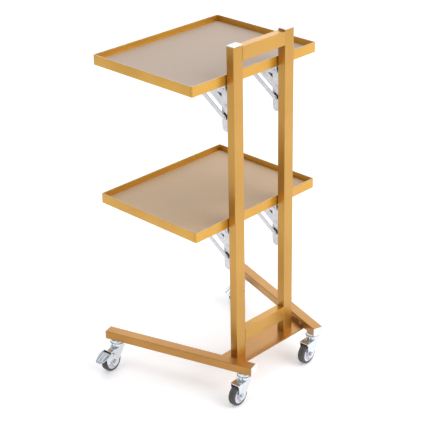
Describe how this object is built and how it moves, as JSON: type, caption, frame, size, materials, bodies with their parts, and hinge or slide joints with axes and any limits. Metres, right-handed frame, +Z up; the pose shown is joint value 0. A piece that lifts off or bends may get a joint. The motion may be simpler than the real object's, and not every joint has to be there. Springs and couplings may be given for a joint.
{
  "type": "rolling salon trolley",
  "caption": "Rolling salon trolley with shallow rimmed trays that fold down on bracket arms, a pair of posts joined by crossbars, splayed legs and swivel casters with brake pedals.",
  "frame": {"origin": "on the floor, at the middle of the footprint, with the trays up and the casters as shown", "axes": "+Z up, +Y to the front where the trays reach out, +X to the right when looking from the posts over the trays"},
  "size_m": [0.5074, 0.3892, 0.8021],
  "materials": {
    "gold": "satin gold coating over steel tube and sheet",
    "tray_floor": "smooth satin taupe coating over pressed steel",
    "zinc": "bright zinc plate",
    "white_caps": "white moulded plastic",
    "black_nylon": "black nylon",
    "tyre": "dark grey rubber",
    "hub": "pale lilac-white moulded plastic"
  },
  "bodies": {
    "root": {"left_post": "gold", "right_post": "gold", "top_crossbar": "gold", "lower_crossbar": "gold", "left_leg": "gold", "right_leg": "gold", "base_plate": "gold", "post_caps": "white_caps", "leg_caps": "white_caps", "base_screws": "zinc", "bracket_screws": "zinc", "bracket_rivets": "zinc", "upper_left_wall_leg": "zinc", "upper_right_wall_leg": "zinc", "lower_left_wall_leg": "zinc", "lower_right_wall_leg": "zinc", "caster_stems": "zinc"},
    "upper_tray": {"upper_tray_rim": "gold", "upper_tray_floor": "tray_floor", "upper_tray_studs": "zinc", "upper_left_arm": "zinc", "upper_right_arm": "zinc"},
    "upper_left_strut": {"upper_left_strut": "zinc", "upper_left_bushes": "black_nylon"},
    "upper_left_brace": {"upper_left_brace": "zinc"},
    "upper_right_strut": {"upper_right_strut": "zinc", "upper_right_bushes": "black_nylon"},
    "upper_right_brace": {"upper_right_brace": "zinc"},
    "lower_tray": {"lower_tray_rim": "gold", "lower_tray_floor": "tray_floor", "lower_tray_studs": "zinc", "lower_left_arm": "zinc", "lower_right_arm": "zinc"},
    "lower_left_strut": {"lower_left_strut": "zinc", "lower_left_bushes": "black_nylon"},
    "lower_left_brace": {"lower_left_brace": "zinc"},
    "lower_right_strut": {"lower_right_strut": "zinc", "lower_right_bushes": "black_nylon"},
    "lower_right_brace": {"lower_right_brace": "zinc"},
    "front_left_caster": {"front_left_fork": "zinc", "front_left_axle": "zinc", "front_left_pedal_pins": "zinc"},
    "front_left_wheel": {"front_left_tyre": "tyre", "front_left_hub": "hub"},
    "front_left_pedal": {"front_left_pedal": "zinc"},
    "front_right_caster": {"front_right_fork": "zinc", "front_right_axle": "zinc", "front_right_pedal_pins": "zinc"},
    "front_right_wheel": {"front_right_tyre": "tyre", "front_right_hub": "hub"},
    "front_right_pedal": {"front_right_pedal": "zinc"},
    "rear_left_caster": {"rear_left_fork": "zinc", "rear_left_axle": "zinc"},
    "rear_left_wheel": {"rear_left_tyre": "tyre", "rear_left_hub": "hub"},
    "rear_right_caster": {"rear_right_fork": "zinc", "rear_right_axle": "zinc"},
    "rear_right_wheel": {"rear_right_tyre": "tyre", "rear_right_hub": "hub"}
  },
  "joints": [
    {"name": "upper_tray_fold", "type": "hinge", "parent": "root", "child": "upper_tray", "pos_m": [0.02389, -0.09305, 0.7046], "axis": [-1, 0, 0], "range_deg": [0, 90]},
    {"name": "upper_left_strut_swing", "type": "hinge", "parent": "root", "child": "upper_left_strut", "pos_m": [-0.05411, -0.09205, 0.6426], "axis": [-1, 0, 0], "range_deg": [0, 124]},
    {"name": "upper_left_brace_swing", "type": "hinge", "parent": "root", "child": "upper_left_brace", "pos_m": [-0.05411, -0.09305, 0.6681], "axis": [-1, 0, 0], "range_deg": [0, 126.5]},
    {"name": "upper_right_strut_swing", "type": "hinge", "parent": "root", "child": "upper_right_strut", "pos_m": [0.10189, -0.09205, 0.6426], "axis": [-1, 0, 0], "range_deg": [0, 124]},
    {"name": "upper_right_brace_swing", "type": "hinge", "parent": "root", "child": "upper_right_brace", "pos_m": [0.10189, -0.09305, 0.6681], "axis": [-1, 0, 0], "range_deg": [0, 126.5]},
    {"name": "lower_tray_fold", "type": "hinge", "parent": "root", "child": "lower_tray", "pos_m": [0.02389, -0.09305, 0.3808], "axis": [-1, 0, 0], "range_deg": [0, 90]},
    {"name": "lower_left_strut_swing", "type": "hinge", "parent": "root", "child": "lower_left_strut", "pos_m": [-0.05411, -0.09205, 0.3188], "axis": [-1, 0, 0], "range_deg": [0, 124]},
    {"name": "lower_left_brace_swing", "type": "hinge", "parent": "root", "child": "lower_left_brace", "pos_m": [-0.05411, -0.09305, 0.3443], "axis": [-1, 0, 0], "range_deg": [0, 126.5]},
    {"name": "lower_right_strut_swing", "type": "hinge", "parent": "root", "child": "lower_right_strut", "pos_m": [0.10189, -0.09205, 0.3188], "axis": [-1, 0, 0], "range_deg": [0, 124]},
    {"name": "lower_right_brace_swing", "type": "hinge", "parent": "root", "child": "lower_right_brace", "pos_m": [0.10189, -0.09305, 0.3443], "axis": [-1, 0, 0], "range_deg": [0, 126.5]},
    {"name": "front_left_swivel", "type": "hinge", "parent": "root", "child": "front_left_caster", "pos_m": [-0.18668, 0.14276, 0.053], "axis": [0, 0, 1], "continuous": true},
    {"name": "front_left_roll", "type": "hinge", "parent": "front_left_caster", "child": "front_left_wheel", "pos_m": [-0.21059, 0.14067, 0.025], "axis": [-0.0872, 0.9962, 0], "continuous": true},
    {"name": "front_left_pedal_press", "type": "hinge", "parent": "front_left_caster", "child": "front_left_pedal", "pos_m": [-0.21358, 0.1404, 0.0425], "axis": [0.0872, -0.9962, 0], "range_deg": [0, 8]},
    {"name": "front_right_swivel", "type": "hinge", "parent": "root", "child": "front_right_caster", "pos_m": [0.23446, 0.14276, 0.053], "axis": [0, 0, 1], "continuous": true},
    {"name": "front_right_roll", "type": "hinge", "parent": "front_right_caster", "child": "front_right_wheel", "pos_m": [0.21055, 0.14067, 0.025], "axis": [-0.0872, 0.9962, 0], "continuous": true},
    {"name": "front_right_pedal_press", "type": "hinge", "parent": "front_right_caster", "child": "front_right_pedal", "pos_m": [0.20756, 0.1404, 0.0425], "axis": [0.0872, -0.9962, 0], "range_deg": [0, 8]},
    {"name": "rear_left_swivel", "type": "hinge", "parent": "root", "child": "rear_left_caster", "pos_m": [-0.09166, -0.16804, 0.053], "axis": [0, 0, 1], "continuous": true},
    {"name": "rear_left_roll", "type": "hinge", "parent": "rear_left_caster", "child": "rear_left_wheel", "pos_m": [-0.11557, -0.17013, 0.025], "axis": [-0.0872, 0.9962, 0], "continuous": true},
    {"name": "rear_right_swivel", "type": "hinge", "parent": "root", "child": "rear_right_caster", "pos_m": [0.13944, -0.16804, 0.053], "axis": [0, 0, 1], "continuous": true},
    {"name": "rear_right_roll", "type": "hinge", "parent": "rear_right_caster", "child": "rear_right_wheel", "pos_m": [0.11553, -0.17013, 0.025], "axis": [-0.0872, 0.9962, 0], "continuous": true}
  ],
  "couplings": [
    {"joint": "upper_left_strut_swing", "follows": "upper_tray_fold", "ratio": 1.3777},
    {"joint": "upper_left_brace_swing", "follows": "upper_tray_fold", "ratio": 1.4055},
    {"joint": "upper_right_strut_swing", "follows": "upper_tray_fold", "ratio": 1.3777},
    {"joint": "upper_right_brace_swing", "follows": "upper_tray_fold", "ratio": 1.4055},
    {"joint": "lower_left_strut_swing", "follows": "lower_tray_fold", "ratio": 1.3777},
    {"joint": "lower_left_brace_swing", "follows": "lower_tray_fold", "ratio": 1.4055},
    {"joint": "lower_right_strut_swing", "follows": "lower_tray_fold", "ratio": 1.3777},
    {"joint": "lower_right_brace_swing", "follows": "lower_tray_fold", "ratio": 1.4055}
  ]
}
